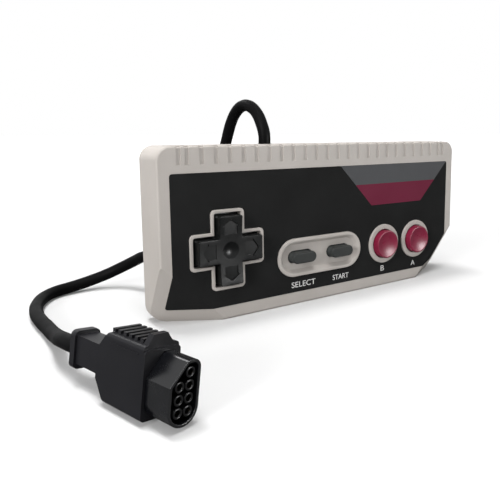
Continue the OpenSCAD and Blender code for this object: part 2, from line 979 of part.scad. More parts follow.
module cross_sheet() {
    hole_r = cross_foot_r + cross_skirt_gap;
    color("#8a8a88") {
        difference() {
            pin(-cross_x, cross_z, sheet_front, board_depth, cross_sheet_r);
            pin(-cross_x, cross_z, sheet_front - cut_extra, board_depth + cut_extra,
                post_base_r);
            at_contacts()
            pin(0, 0, sheet_front - cut_extra, board_depth + cut_extra, hole_r + skirt_flare);
        }
        at_contacts()
        skirt(0, 0, hole_r, cross_stud_top + press_gap);
    }
}

module circuit_board() {
    color("#2f5d3a")
    difference() {
        slab(board_depth, board_back)
        translate([-board_w / 2, board_foot])
        square([board_w, board_h]);
        pin(-cross_x, cross_z, board_depth - cut_extra, board_back + cut_extra,
            post_r + press_gap);
        for (at = board_screw_at) {
            pin(at[0], at[1], board_depth - cut_extra, board_back + cut_extra,
                board_screw_r + press_gap);
        }
    }
}

module control_chip() {
    color("#1c1c1c")
    slab(board_depth - chip_stand - chip_t, board_depth - chip_stand)
    translate(chip_at)
    square([chip_l, chip_w], center = true);
}

module chip_legs() {
    first = -(chip_legs_per_side - 1) * leg_pitch / 2;
    color("silver")
    for (side = [-1, 1], i = [0:chip_legs_per_side - 1]) {
        translate([chip_at[0] + first + i * leg_pitch - leg_w / 2, front_y + board_depth, 0])
        rotate([90, 0, 90])
        linear_extrude(leg_w)
        chip_leg(side);
    }
}

// One bent leg, drawn in depth and height from the board's face
module chip_leg(side) {
    edge = chip_at[1] + side * chip_w / 2;
    mid = -chip_stand - chip_t / 2;
    thick = leg_w / 2;
    polygon([
        [mid, edge], [mid, edge + side * (leg_reach - thick)],
        [0, edge + side * (leg_reach - thick)], [0, edge + side * leg_reach],
        [mid - thick, edge + side * leg_reach], [mid - thick, edge]
    ]);
}

module resistors() {
    color("tan")
    for (at = resistor_at) {
        translate([at[0], front_y + board_depth - resistor_stand - resistor_r,
            at[1] - resistor_l / 2])
        cylinder(r = resistor_r, h = resistor_l);
        for (end = [-1, 1]) {
            pin(at[0], at[1] + end * (resistor_l / 2 - resistor_r), board_depth
                - resistor_stand - resistor_r, board_depth, resistor_r / 2);
        }
    }
}

module capacitor() {
    color("navy")
    pin(capacitor_at[0], capacitor_at[1], board_depth - capacitor_h, board_depth, capacitor_r);
}

module wire_socket() {
    color("ivory")
    slab(board_depth - socket_t, board_depth)
    translate([-cord_x - socket_w / 2, board_top - socket_h])
    square([socket_w, socket_h]);
}

// Five leads from the cord's end down to the socket on the board
module cord_wires() {
    low_y = front_y + board_depth - socket_t / 2;
    drop = lead_foot - board_top;
    color("#a03030")
    intersection() {
        for (i = [0:wire_count - 1]) {
            spread = (i - (wire_count - 1) / 2);
            near = spread * (wire_r * 2 - fit_gap);
            far = spread * wire_pitch;
            slope = [far - near, low_y - exit_y, -drop];
            translate([near - cord_x, exit_y, lead_foot] - slope / 2)
            rotate([0, acos(-drop / norm(slope)), atan2(slope[1], slope[0])])
            cylinder(r = wire_r, h = 2 * norm(slope));
        }
        translate([-beyond, front_y, board_top])
        cube([2 * beyond, body_d, drop]);
    }
}

module cord_lead() {
    color("#1a1a1a")
    translate([-cord_x, exit_y, lead_foot])
    cylinder(r = cord_d / 2, h = body_h - lead_gap - lead_foot);
}

module lead_tie() {
    top = body_h - wall - grommet_flange_t;
    color("#101010")
    difference() {
        translate([-cord_x, exit_y, top - lead_tie_t])
        cylinder(r = lead_tie_r, h = lead_tie_t);
        cord_bore();
    }
}

module cord_bore() {
    translate([-cord_x, exit_y, 0]) cylinder(r = cord_d / 2 + fit_gap, h = beyond);
}

module cord_grommet() {
    color("#151515")
    difference() {
        union() {
            intersection() {
                cord_slot(0);
                translate([-beyond, front_y, body_h - wall])
                cube([2 * beyond, seam, wall]);
            }
            translate([-cord_x, exit_y, body_h - wall - grommet_flange_t])
            cylinder(r = grommet_flange_r, h = grommet_flange_t);
        }
        cord_bore();
        slab(back_inside, body_d) everywhere();
    }
}

module cross_slot(x, z, depth) {
    for (turn = [0, 90]) {
        facing(x, z, depth)
        rotate(turn)
        translate([-head_r * 2 / 3, -slot_w / 2, -cut_extra])
        cube([head_r * 4 / 3, slot_w, slot_deep + cut_extra]);
    }
}

module board_screws() {
    color("silver")
    for (at = board_screw_at) {
        difference() {
            union() {
                pin(at[0], at[1], screw_front, board_back, board_screw_r);
                pin(at[0], at[1], board_back, board_back + board_head_t, board_head_r);
            }
            cross_slot(at[0], at[1], board_back + board_head_t);
        }
    }
}

module case_screws() {
    seat = body_d - head_sink;
    color("silver")
    for (at = case_screw_at) {
        difference() {
            union() {
                pin(at[0], at[1], screw_front, seat, screw_r);
                pin(at[0], at[1], seat, seat + head_t, head_r);
            }
            cross_slot(at[0], at[1], seat + head_t);
        }
    }
}

// Round tube swept along a route; each ring lies square to the route
function unit(v) = v / norm(v);
function heading(route, i) =
    unit(route[min(i + 1, len(route) - 1)] - route[max(i - 1, 0)]);
function level(side, way) = unit(side - (side * way) * way);
function sides_along(route, i, side) = i == len(route) ? [] :
    let (now = level(side, heading(route, i)))
    concat([now], sides_along(route, i + 1, now));

module tube(route, r, first_side) {
    count = len(route);
    sides = sides_along(route, 0, first_side);
    points = [
        for (i = [0:count - 1])
            let (up = cross(heading(route, i), sides[i]))
            for (k = [0:tube_sides - 1])
                let (a = k * 360 / tube_sides)
                route[i] + r * (cos(a) * sides[i] + sin(a) * up)
    ];
    walls = [
        for (i = [0:count - 2], k = [0:tube_sides - 1])
            let (next = (k + 1) % tube_sides)
            [i * tube_sides + k, (i + 1) * tube_sides + k,
                (i + 1) * tube_sides + next, i * tube_sides + next]
    ];
    polyhedron(points, concat(
        [[for (k = [0:tube_sides - 1]) k]],
        walls,
        [[for (k = [1:tube_sides]) count * tube_sides - k]]
    ));
}

module cord_arch() {
    color("#1a1a1a") tube(arch_route, cord_d / 2, [1, 0, 0]);
}

module cord_run() {
    into_plug = plug_point([neck_x, cuff_end, cord_entry]);
    color("#1a1a1a") tube(concat(run_route, [into_plug]), cord_d / 2, [0, 0, 1]);
}

module bundle_outline(inset) {
    w = coil_bundle_w - 2 * inset;
    h = coil_bundle_h - 2 * inset;
    r = cord_d / 2;
    translate([coil_d / 2 - w / 2, inset])
    rounded_plate(0, 0, w, h, r);
}

module cord_coil() {
    color("#1a1a1a")
    translate([coil_at[0], coil_at[1], 0])
    difference() {
        rotate_extrude() bundle_outline(0);
        tie_ring(0);
    }
}

module tie_ring(gap) {
    rotate([0, 0, 90 - tie_angle / 2])
    rotate_extrude(angle = tie_angle)
    difference() {
        bundle_outline(gap);
        bundle_outline(tie_t);
    }
}

module coil_tie() {
    color("#303030")
    translate([coil_at[0], coil_at[1], 0])
    tie_ring(0);
}

// Where a point of the plug's own frame lies: across, back and up from its corner
function plug_point(p) =
    let (x = p[0] * cos(plug_lean) + p[2] * sin(plug_lean))
    plug_at + [x * cos(plug_turn) - p[1] * sin(plug_turn),
        x * sin(plug_turn) + p[1] * cos(plug_turn),
        p[2] * cos(plug_lean) - p[0] * sin(plug_lean)];

module in_plug() {
    translate(plug_at) rotate([0, plug_lean, plug_turn]) children();
}

// Places children drawn across and up between two distances back from the plug's corner
module plug_slab(y0, y1) {
    translate([0, y1, 0]) rotate([90, 0, 0]) linear_extrude(y1 - y0) children();
}

// Outline of the hood, a thickness inside its outer one; half round below, one corner cut off
module hood_outline(t) {
    left = hood_side;
    right = plug_w - hood_side;
    r = (right - left) / 2;
    bend = atan(hood_cut_z / hood_cut_x);
    cut_top = left + hood_cut_x + t * tan(bend / 2);
    cut_low = hood_top - hood_cut_z - t * tan((90 - bend) / 2);
    translate([plug_w / 2, hood_foot + r]) circle(r - t);
    translate([right - hood_corner_r, hood_top - hood_corner_r]) circle(hood_corner_r - t);
    polygon([
        [left + t, hood_foot + r], [right - t, hood_foot + r],
        [right - t, hood_top - hood_corner_r], [right - hood_corner_r, hood_top - t],
        [cut_top, hood_top - t], [left + t, cut_low]
    ]);
}

// Side outline of the plug's body, drawn back and up
module body_side() {
    polygon([
        [0, 0], [plug_l, 0], [plug_l + back_slope, neck_foot],
        [plug_l + back_slope, neck_top], [plug_l, plug_h], [0, plug_h]
    ]);
}

module plug_body() {
    color("#1e1e20")
    in_plug()
    difference() {
        union() {
            intersection() {
                rotate([90, 0, 90]) linear_extrude(plug_w) body_side();
                plug_slab(0, plug_l + back_slope) rounded_plate(0, 0, plug_w, plug_h, plug_r);
            }
            plug_slab(-plate_front, 0)
            rounded_plate(0, 0, plug_w, plug_h - plate_top_gap, plug_r);
            plug_slab(plug_l, cuff_front)
            translate([neck_x - neck_w / 2, neck_foot])
            square([neck_w, neck_top - neck_foot]);
            plug_slab(cuff_front, cuff_end)
            rounded_plate(neck_x - cuff_w / 2, cuff_foot, cuff_w, cuff_top - cuff_foot, cuff_r);
            for (i = [0:rib_count - 1]) {
                translate([grip_left, rib_start + i * rib_pitch, plug_h - fit_gap])
                cube([plug_w - grip_left - grip_right, rib_w, rib_h]);
            }
            end_block();
            translate([-ledge_t, block_t, plug_h - 2 * plug_r - ledge_t])
            cube([plug_w + 2 * ledge_t, plug_l - 2 * block_t, 2 * ledge_t]);
        }
        plug_slab(-plate_front - cut_extra, hood_seat) hood_outline(-fit_gap);
    }
}

// Block that ends the ribbed grip above the end plate
module end_block() {
    top = plug_h + block_h;
    plug_slab(0, block_t)
    polygon([
        [plug_r / 2, plug_h - plug_r], [plug_w - plug_r, plug_h - plug_r],
        [plug_w - block_h - plug_r, top], [plug_r + block_lean, top]
    ]);
}

module plug_hood() {
    color("#222226")
    in_plug()
    plug_slab(-plate_front - hood_l, hood_seat)
    difference() {
        hood_outline(0);
        hood_outline(hood_wall);
    }
}

function socket_spots() = [
    for (i = [0:3]) [(plug_w + socket_columns) / 2, socket_foot + i * socket_pitch],
    for (i = [0:2]) [(plug_w - socket_columns) / 2, socket_foot + i * socket_pitch]
];

module plug_insert() {
    color("#18181a")
    in_plug()
    difference() {
        union() {
            plug_slab(hood_seat - insert_floor, hood_seat) hood_outline(hood_wall + fit_gap);
            for (at = socket_spots()) {
                plug_slab(tube_back - hood_l - plate_front, hood_seat)
                translate(at)
                circle(tube_r);
            }
        }
        for (at = socket_spots()) {
            plug_slab(-2 * hood_l, hood_seat + cut_extra)
            translate(at)
            circle(socket_r + sleeve_wall);
        }
    }
}

module plug_contacts() {
    front = sleeve_sink + tube_back - hood_l - plate_front;
    color("gold")
    in_plug()
    for (at = socket_spots()) {
        plug_slab(front, hood_seat)
        translate(at)
        difference() {
            circle(socket_r + sleeve_wall);
            circle(socket_r);
        }
    }
}

front_shell();
rear_shell();
faceplate();
grey_stripe();
maroon_stripe();
cross();
cross_bead();
cross_studs();
cross_pills();
button_a();
stud_a();
pill_a();
button_b();
stud_b();
pill_b();
select_key();
stud_select();
pill_select();
start_key();
stud_start();
pill_start();
cross_sheet();
button_sheet();
key_sheet();
circuit_board();
control_chip();
chip_legs();
resistors();
capacitor();
wire_socket();
cord_wires();
cord_lead();
lead_tie();
cord_grommet();
board_screws();
case_screws();
cord_arch();
cord_coil();
coil_tie();
cord_run();
plug_body();
plug_hood();
plug_insert();
plug_contacts();
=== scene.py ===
# %% [markdown]
# # A wired game controller
# A slim grey controller stands on its long lower edge. Its cord arches over the back, lies in
# a coil behind, and comes forward to its plug. The solids were made in a CAD program. Here they
# are loaded as a fixed frame, and every visible piece gets its finish.

import json
import math

import bmesh
import bpy
from mathutils import Matrix, Vector

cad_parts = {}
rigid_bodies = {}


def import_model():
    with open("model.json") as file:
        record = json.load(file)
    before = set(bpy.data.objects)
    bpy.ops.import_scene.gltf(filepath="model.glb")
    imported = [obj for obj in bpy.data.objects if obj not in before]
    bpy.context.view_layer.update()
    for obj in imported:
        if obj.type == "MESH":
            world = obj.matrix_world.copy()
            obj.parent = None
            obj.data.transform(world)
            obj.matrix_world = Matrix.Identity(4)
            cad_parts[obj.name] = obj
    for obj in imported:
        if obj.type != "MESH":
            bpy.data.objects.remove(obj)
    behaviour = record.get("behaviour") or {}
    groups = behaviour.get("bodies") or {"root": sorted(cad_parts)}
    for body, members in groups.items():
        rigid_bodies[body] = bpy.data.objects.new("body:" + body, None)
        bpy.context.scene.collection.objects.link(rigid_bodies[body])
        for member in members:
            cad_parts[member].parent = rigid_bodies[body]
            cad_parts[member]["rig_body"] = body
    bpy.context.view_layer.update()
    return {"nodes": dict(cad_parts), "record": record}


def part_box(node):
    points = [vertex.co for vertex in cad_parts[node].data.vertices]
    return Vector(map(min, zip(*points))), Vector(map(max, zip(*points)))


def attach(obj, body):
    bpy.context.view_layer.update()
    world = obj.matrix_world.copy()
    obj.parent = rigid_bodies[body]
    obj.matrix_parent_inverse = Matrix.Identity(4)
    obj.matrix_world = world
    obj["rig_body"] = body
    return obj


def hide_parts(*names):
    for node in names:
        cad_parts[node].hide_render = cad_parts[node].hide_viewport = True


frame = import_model()
MM = 0.001

# %% [markdown]
# ## Camera
# The camera looks slightly down and across the controller from its left. Its lens is shifted,
# as on a studio camera, so that the controller sits right of the middle while the camera keeps
# its direction, and the upright edges stay almost upright.

# %% Camera
CAMERA_AT = (-0.1149, -0.1550, 0.0577)
TURNED_RIGHT_DEG = 36.17
LOOKS_DOWN_DEG = 7.59


def object_of(name, data):
    """A new object at the origin, linked to the scene so that it shows."""
    piece = bpy.data.objects.new(name, data)
    bpy.context.scene.collection.objects.link(piece)
    return piece


camera_data = bpy.data.cameras.new("camera")
camera_data.sensor_width = 36
camera_data.lens = 39.6
camera_data.shift_x = -0.136
camera_data.shift_y = -0.092
camera_data.clip_start = 0.01
camera_data.clip_end = 20
camera = object_of("camera", camera_data)
camera.location = CAMERA_AT
turn = math.radians(-TURNED_RIGHT_DEG)
drop = math.radians(LOOKS_DOWN_DEG)
look = Vector((-math.sin(turn) * math.cos(drop), math.cos(turn) * math.cos(drop),
    -math.sin(drop)))
camera.rotation_euler = look.to_track_quat("-Z", "Y").to_euler()
bpy.context.scene.camera = camera
print("camera looks along", [round(value, 3) for value in look])

# %% [markdown]
# ## Cord
# A cord has a fixed length, so its route comes before its look. It leaves the top of the case,
# arches over the back edge, goes down to the floor, runs through twenty turns of a neat coil
# and comes out at the top of it toward the plug. One smooth curve through these points has
# that length by itself, and its round section gives the sheath.

# %% The route's points, in millimetres
CORD_D = 4.0
ARCH_ROUTE = [
    (-21.2, 3.15, 53.4), (-21.2, 3.3, 56.6), (-21.4, 4.6, 60), (-21.6, 7, 63.3),
    (-21.9, 10, 65.4), (-22.1, 13.4, 66.3), (-22.4, 17, 65.8), (-22.8, 20.2, 63.8),
    (-23.2, 22.7, 60.6), (-23.6, 24.9, 56), (-24.2, 27.2, 49.6), (-25.1, 29, 42),
    (-26.1, 29.9, 35), (-27, 30.3, 28), (-27.8, 30.4, 21.5), (-28.6, 30.4, 15.5),
    (-29.2, 30.6, 10.5), (-30, 31.7, 6.3), (-31.2, 34.7, 3.2), (-32.4, 38.9, 2),
    (-32.7, 44, 2), (-32, 49, 2),
]
RUN_ROUTE = [
    (-12, 24.5, 14), (-20, 24.5, 14), (-29, 25, 14), (-37, 26.2, 14), (-44.8, 29, 14),
    (-48.9, 33.1, 13.9), (-51.3, 38, 12.9), (-53, 42.9, 10.7), (-56.2, 47.3, 8),
    (-61, 50.5, 5.3), (-67, 51.7, 3.4), (-73, 51.2, 2.4), (-78.8, 49.2, 2.1),
    (-83, 45.2, 2), (-85.7, 39.9, 2), (-87.6, 33.6, 2), (-88.5, 26.8, 2),
    (-88.6, 19.5, 2), (-88.2, 12.5, 2.1), (-88, 5.5, 2.4), (-88.1, -1.5, 3.6),
    (-88.8, -8.4, 5.5), (-89.1, -14, 7), (-88.4, -19.3, 7.6),
]
PLUG_END = (-86.96, -24.16, 7.58)
print("points chosen by hand:", len(ARCH_ROUTE), "on the arch,", len(RUN_ROUTE), "on the run")

# %% The coil: five turns side by side in each of four layers
COIL_AT = Vector((0, 55))
COIL_R = 22.3
LAYERS = 4
TURNS_IN_LAYER = 5
POINTS_PER_TURN = 16
START_ANGLE = 170
TURNS = 19.722
STEP_SHARE = 0.16
TIE_ANGLE = 90
TIE_SQUEEZE = 0.05
TIE_SPREAD_DEG = 14


def turn_slot(k):
    """Radius and height of the middle of the cord in its turn number k."""
    layer, place = divmod(min(k, LAYERS * TURNS_IN_LAYER - 1), TURNS_IN_LAYER)
    step = place - (TURNS_IN_LAYER - 1) / 2
    side = -step if layer % 2 == 0 else step
    return COIL_R + side * CORD_D, CORD_D * (layer + 0.5)


def smooth(value):
    """Eases from 0 to 1 as the value goes from 0 to 1."""
    value = max(0.0, min(1.0, value))
    return value * value * (3 - 2 * value)


def coil_point(turns):
    """A point of the coil after a number of turns, wound clockwise as seen from above. It
    steps over to the next turn's slot at each turn's end, and the tie squeezes it a little."""
    k = int(turns)
    (r0, z0), (r1, z1) = turn_slot(k), turn_slot(k + 1)
    step = smooth((turns - k - 1 + STEP_SHARE) / STEP_SHARE)
    r, z = r0 + (r1 - r0) * step, z0 + (z1 - z0) * step
    angle = START_ANGLE - 360 * turns
    apart = abs((angle - TIE_ANGLE + 180) % 360 - 180)
    squeeze = 1 - TIE_SQUEEZE * math.exp(-((apart / TIE_SPREAD_DEG) ** 2))
    r = COIL_R + (r - COIL_R) * squeeze
    middle = LAYERS * CORD_D / 2
    z = middle + (z - middle) * squeeze
    a = math.radians(angle)
    return (COIL_AT.x + r * math.cos(a), COIL_AT.y + r * math.sin(a), z)


coil_route = []
steps = int(TURNS * POINTS_PER_TURN)
for i in range(1, steps + 1):
    coil_route.append(coil_point(i * TURNS / (steps + 0.5)))
route = ARCH_ROUTE + coil_route + RUN_ROUTE + [PLUG_END]
print("points on the cord:", len(route))

# %% The cord as one curve
cord_curve = bpy.data.curves.new("cord", "CURVE")
cord_curve.dimensions = "3D"
cord_curve.bevel_depth = 1.0  # times each knot's radius
cord_curve.bevel_resolution = 4
cord_curve.resolution_u = 5
cord_curve.use_fill_caps = True
spline = cord_curve.splines.new("BEZIER")
spline.bezier_points.add(len(route) - 1)
for knot, place in zip(spline.bezier_points, route):
    knot.co = Vector(place) * MM
    knot.radius = CORD_D / 2 * MM
    knot.handle_left_type = knot.handle_right_type = "AUTO"
cord = object_of("cord", cord_curve)
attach(cord, "case")
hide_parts("cord_arch", "cord_coil", "cord_run")
length = sum((Vector(a) - Vector(b)).length for a, b in zip(route, route[1:]))
print("cord length in metres, along its points:", round(length * MM, 3))

# %% [markdown]
# ## Light and floor
# A product shown on white needs soft light from everywhere. The surroundings look pure white
# to the camera and in reflections, while the light that they give stays at a plain level. Three
# lamps shape the object: a high one a little behind it gives the close shadow on the floor, one
# at the left lightens the end of the case, and one in front lightens its top. The other three
# only show in reflections. They put the glints in the buttons, on the case's edges and on the
# ridge of the plug, and they light nothing else.

# %% Surroundings
SKY_LIGHT = 0.4
SKY_SEEN = 1.0
world = bpy.data.worlds.new("surroundings")
world.use_nodes = True
bpy.context.scene.world = world
sky = world.node_tree
sky.nodes.clear()
seen = sky.nodes.new("ShaderNodeLightPath")
either = sky.nodes.new("ShaderNodeMath")
either.operation = "MAXIMUM"
sky.links.new(seen.outputs["Is Camera Ray"], either.inputs[0])
sky.links.new(seen.outputs["Is Glossy Ray"], either.inputs[1])
pick = sky.nodes.new("ShaderNodeMixShader")
sky.links.new(either.outputs[0], pick.inputs[0])
for place, strength in ((1, SKY_LIGHT), (2, SKY_SEEN)):
    white = sky.nodes.new("ShaderNodeBackground")
    white.inputs["Color"].default_value = (1, 1, 1, 1)
    white.inputs["Strength"].default_value = strength
    sky.links.new(white.outputs[0], pick.inputs[place])
shown = sky.nodes.new("ShaderNodeOutputWorld")
sky.links.new(pick.outputs[0], shown.inputs[0])
bpy.context.scene.view_settings.view_transform = "Standard"
print("surroundings light with", SKY_LIGHT, "and look like", SKY_SEEN)

# %% Lamps
def lamp(name, place, aim, size, watts, diffuse=True, glossy=True):
    """A soft lamp, its place and size in metres, that points from its place to its aim."""
    data = bpy.data.lights.new(name, "AREA")
    data.shape = "RECTANGLE"
    data.size, data.size_y = size
    data.energy = watts
    made = object_of(name, data)
    made.location = place
    made.rotation_euler = (Vector(aim) - Vector(place)).to_track_quat("-Z", "Y").to_euler()
    made.visible_diffuse = diffuse
    made.visible_glossy = glossy


lamp("high_box", place=(-0.12, 0.17, 1.12), aim=(0, 0, 0), size=(0.28, 0.28), watts=8.4,
    glossy=False)
lamp("window_left", place=(-0.92, -0.35, 0.32), aim=(-0.03, 0, 0.02), size=(0.3, 0.3), watts=6.6)
lamp("top_box", place=(-0.1, -0.3, 0.85), aim=(0, 0, 0.02), size=(0.4, 0.3), watts=3.7)
lamp("shine_box", place=(0.395, -0.6, 0.09), aim=(0.03, 0, 0.016), size=(0.3, 0.14), watts=6.8,
    diffuse=False)
lamp("edge_box", place=(-0.68, -0.45, 0.6), aim=(-0.02, -0.02, 0.02), size=(0.16, 0.16), watts=5,
    diffuse=False)
lamp("ridge_box", place=(-0.19, 0.75, 0.72), aim=(-0.084, -0.05, 0.02), size=(0.3, 0.2),
    watts=1.5, diffuse=False)

# %% Floor
FLOOR_HALF = 6


def mesh_of(name, bm):
    """Hands a bmesh over to a new mesh, and frees it."""
    mesh = bpy.data.meshes.new(name)
    bm.to_mesh(mesh)
    bm.free()
    return mesh


floor_bm = bmesh.new()
bmesh.ops.create_grid(floor_bm, x_segments=1, y_segments=1, size=FLOOR_HALF)
floor = object_of("floor", mesh_of("floor", floor_bm))
print("floor:", 2 * FLOOR_HALF, "metres across")

# %% [markdown]
# ## Finishes
# Moulded plastic is never one flat colour: it has a fine grain from the mould, patches that
# are a little shinier where it is handled, and a faint change of shade. Every moulded finish is
# built from those three. Shader maths is written as ordinary expressions: a small class wraps a
# socket, so that adding or multiplying two of them adds the Math node.

# %% A socket that can be used in expressions
class Wire:
    """One output socket of a finish; arithmetic on it adds Math nodes."""

    def __init__(self, finish, socket):
        self.finish = finish
        self.socket = socket

    def maths(self, operation, first, second):
        return self.finish.add("ShaderNodeMath", {"operation": operation}, {0: first, 1: second})

    def __add__(self, other):
        return self.maths("ADD", self, other)

    def __radd__(self, other):
        return self.maths("ADD", other, self)

    def __mul__(self, other):
        return self.maths("MULTIPLY", self, other)

    def __rmul__(self, other):
        return self.maths("MULTIPLY", other, self)


print("signs that work on a wire:", "+", "*")

# %% A finish: one material and the nodes it is made of
NOISE_LOW = 0.35
NOISE_HIGH = 0.65


class Finish:
    """A material on the Principled shader, whose nodes are added one call at a time."""

    def __init__(self, name, **constants):
        self.material = bpy.data.materials.new(name)
        self.material.use_nodes = True
        self.tree = self.material.node_tree
        self.tree.nodes.clear()
        self.shader = self.tree.nodes.new("ShaderNodeBsdfPrincipled")
        self.output = self.tree.nodes.new("ShaderNodeOutputMaterial")
        self.tree.links.new(self.shader.outputs[0], self.output.inputs["Surface"])
        for socket, value in constants.items():
            self.shader.inputs[socket.replace("_", " ")].default_value = value
        self.here = self.add("ShaderNodeTexCoord", {}, {}, "Object")

    def add(self, kind, settings, inputs, output=0):
        """Adds a node: its settings first, then its sockets, and gives one output back."""
        node = self.tree.nodes.new(kind)
        for name, value in settings.items():
            setattr(node, name, value)
        for name, value in inputs.items():
            socket = node.inputs[name]
            if isinstance(value, Wire):
                self.tree.links.new(value.socket, socket)
            else:
                socket.default_value = value
        return Wire(self, node.outputs[output])

    def feed(self, name, wire):
        """Links a wire to one of the shader's own sockets."""
        self.tree.links.new(wire.socket, self.shader.inputs[name])

    def noise(self, scale, detail=2.0, place=None):
        """Cloudy noise around 0.5; the scale is in patches a metre."""
        return self.add("ShaderNodeTexNoise", {"noise_dimensions": "3D"},
            {"Vector": place or self.here, "Scale": scale, "Detail": detail}, "Fac")

    def spread(self, wire, to_low=0.0, to_high=1.0, low=NOISE_LOW, high=NOISE_HIGH):
        """Stretches the values between low and high over a new range, and stops at its ends.
        By itself it takes the span that a noise really fills."""
        return self.add("ShaderNodeMapRange", {"clamp": True}, {"Value": wire,
            "From Min": low, "From Max": high, "To Min": to_low, "To Max": to_high})

    def blend(self, factor, first, second):
        """Mixes two colours, each a wire or three numbers."""
        first, second = (c if isinstance(c, Wire) else (*c, 1.0) for c in (first, second))
        return self.add("ShaderNodeMix", {"data_type": "RGBA"},
            {0: factor, 6: first, 7: second}, 2)

    def bump(self, height, strength, depth):
        """Feeds a height to the surface's normal; the depth is in metres."""
        self.feed("Normal", self.add("ShaderNodeBump", {},
            {"Height": height, "Strength": strength, "Distance": depth}, "Normal"))


print("a noise is spread from", NOISE_LOW, "to", NOISE_HIGH)

# %% One recipe for moulded plastic and rubber
CLOUDS = 60
HANDLED_PATCHES = 162
CLOUD_SHARE = 0.75
HANDLED_SHARE = 0.7
GRAIN_STRENGTH = 0.6
FINISHES = {}


def moulded(name, dark, light, rough, grain, depth, **constants):
    """Keeps a new finish. dark and light: the colour's two ends; rough: its roughness' two
    ends; grain: grains a metre; depth: the depth of the grain in metres."""
    finish = Finish(name, **constants)
    clouds = finish.noise(CLOUDS, detail=3)
    handled = finish.noise(HANDLED_PATCHES)
    fine = finish.noise(grain)
    shade = finish.spread(clouds * CLOUD_SHARE + fine * (1 - CLOUD_SHARE))
    worn = handled * HANDLED_SHARE + fine * (1 - HANDLED_SHARE)
    finish.feed("Base Color", finish.blend(shade, dark, light))
    finish.feed("Roughness", finish.spread(worn, *rough))
    finish.bump(fine, GRAIN_STRENGTH, depth)
    FINISHES[name] = finish.material


print("the recipe mixes", CLOUD_SHARE, "clouds into the shade of the colour")

# %% Plastics and rubber that show
moulded("case_plastic", dark=(0.417, 0.387, 0.36), light=(0.441, 0.411, 0.384), rough=(0.5, 0.62),
    grain=4200, depth=0.00002, Specular_IOR_Level=0.12)
moulded("panel_black", dark=(0.0155, 0.0157, 0.0157), light=(0.019, 0.0193, 0.0193),
    rough=(0.45, 0.55), grain=5200, depth=0.000012, Specular_IOR_Level=0.0)
moulded("stripe_grey", dark=(0.069, 0.071, 0.075), light=(0.075, 0.077, 0.081),
    rough=(0.45, 0.55), grain=5200, depth=0.00001, Specular_IOR_Level=0.02)
moulded("stripe_maroon", dark=(0.126, 0.013, 0.034), light=(0.138, 0.016, 0.039),
    rough=(0.45, 0.55), grain=5200, depth=0.00001, Specular_IOR_Level=0.02)
moulded("legend_ink", dark=(0.62, 0.62, 0.61), light=(0.68, 0.68, 0.67), rough=(0.5, 0.6),
    grain=6000, depth=0.000006)
moulded("cross_plastic", dark=(0.0035, 0.004, 0.004), light=(0.006, 0.0065, 0.0065),
    rough=(0.26, 0.34), grain=4600, depth=0.00002, Specular_IOR_Level=0.14)
moulded("button_plastic", dark=(0.18, 0.0085, 0.033), light=(0.2, 0.012, 0.04),
    rough=(0.26, 0.32), grain=3000, depth=0.000005, Specular_IOR_Level=0.18)
moulded("key_plastic", dark=(0.033, 0.0355, 0.0345), light=(0.041, 0.0435, 0.0425),
    rough=(0.3, 0.4), grain=4600, depth=0.00002, Specular_IOR_Level=0.05)
moulded("cord_black", dark=(0.003, 0.003, 0.0032), light=(0.0045, 0.0045, 0.0048),
    rough=(0.42, 0.5), grain=3600, depth=0.00002, Specular_IOR_Level=0.03)
moulded("tie_black", dark=(0.012, 0.012, 0.012), light=(0.018, 0.018, 0.018), rough=(0.4, 0.55),
    grain=3000, depth=0.00003, Specular_IOR_Level=0.3)
moulded("plug_black", dark=(0.007, 0.007, 0.0086), light=(0.0102, 0.0101, 0.012),
    rough=(0.34, 0.42), grain=4600, depth=0.00002, Specular_IOR_Level=0.14)
moulded("hood_black", dark=(0.002, 0.0022, 0.003), light=(0.0042, 0.0044, 0.0056),
    rough=(0.2, 0.28), grain=4600, depth=0.00001, Specular_IOR_Level=0.5)
moulded("socket_black", dark=(0.004, 0.004, 0.0045), light=(0.007, 0.007, 0.0075),
    rough=(0.16, 0.24), grain=3600, depth=0.000005, Specular_IOR_Level=0.22)
print("finishes that show:", len(FINISHES))

# %% Plastics and rubber inside the case
moulded("bead_plastic", dark=(0.72, 0.71, 0.67), light=(0.78, 0.77, 0.73), rough=(0.3, 0.4),
    grain=3000, depth=0.00001)
moulded("sheet_rubber", dark=(0.26, 0.26, 0.25), light=(0.32, 0.32, 0.31), rough=(0.55, 0.7),
    grain=2600, depth=0.00003)
moulded("pill_rubber", dark=(0.012, 0.012, 0.012), light=(0.02, 0.02, 0.02), rough=(0.6, 0.75),
    grain=5000, depth=0.00003)
moulded("part_black", dark=(0.014, 0.014, 0.015), light=(0.022, 0.022, 0.023), rough=(0.45, 0.6),
    grain=6000, depth=0.00002)
moulded("resistor_tan", dark=(0.42, 0.29, 0.16), light=(0.5, 0.36, 0.21), rough=(0.3, 0.4),
    grain=3000, depth=0.00001)
moulded("capacitor_blue", dark=(0.012, 0.03, 0.15), light=(0.02, 0.045, 0.2), rough=(0.2, 0.3),
    grain=2000, depth=0.00001)
moulded("socket_white", dark=(0.66, 0.63, 0.54), light=(0.72, 0.69, 0.6), rough=(0.4, 0.5),
    grain=3000, depth=0.00002)
moulded("wire_red", dark=(0.32, 0.02, 0.02), light=(0.4, 0.035, 0.03), rough=(0.3, 0.4),
    grain=3000, depth=0.00001)
print("plastic and rubber finishes:", len(FINISHES))

# %% [markdown]
# ### Metal and board
# The screws are zinc plated: a bright metal with fine scratches. The sockets' sleeves have a
# thin gold flash. The board's green mask shows its copper tracks as slightly lighter lines.

# %% Metals
SCRATCH_STRETCH = (1.0, 9.0, 1.0)
SCRATCH_STRENGTH = 0.4
SCRATCH_DEEP = 0.00001
PLATING_PATCHES = 260


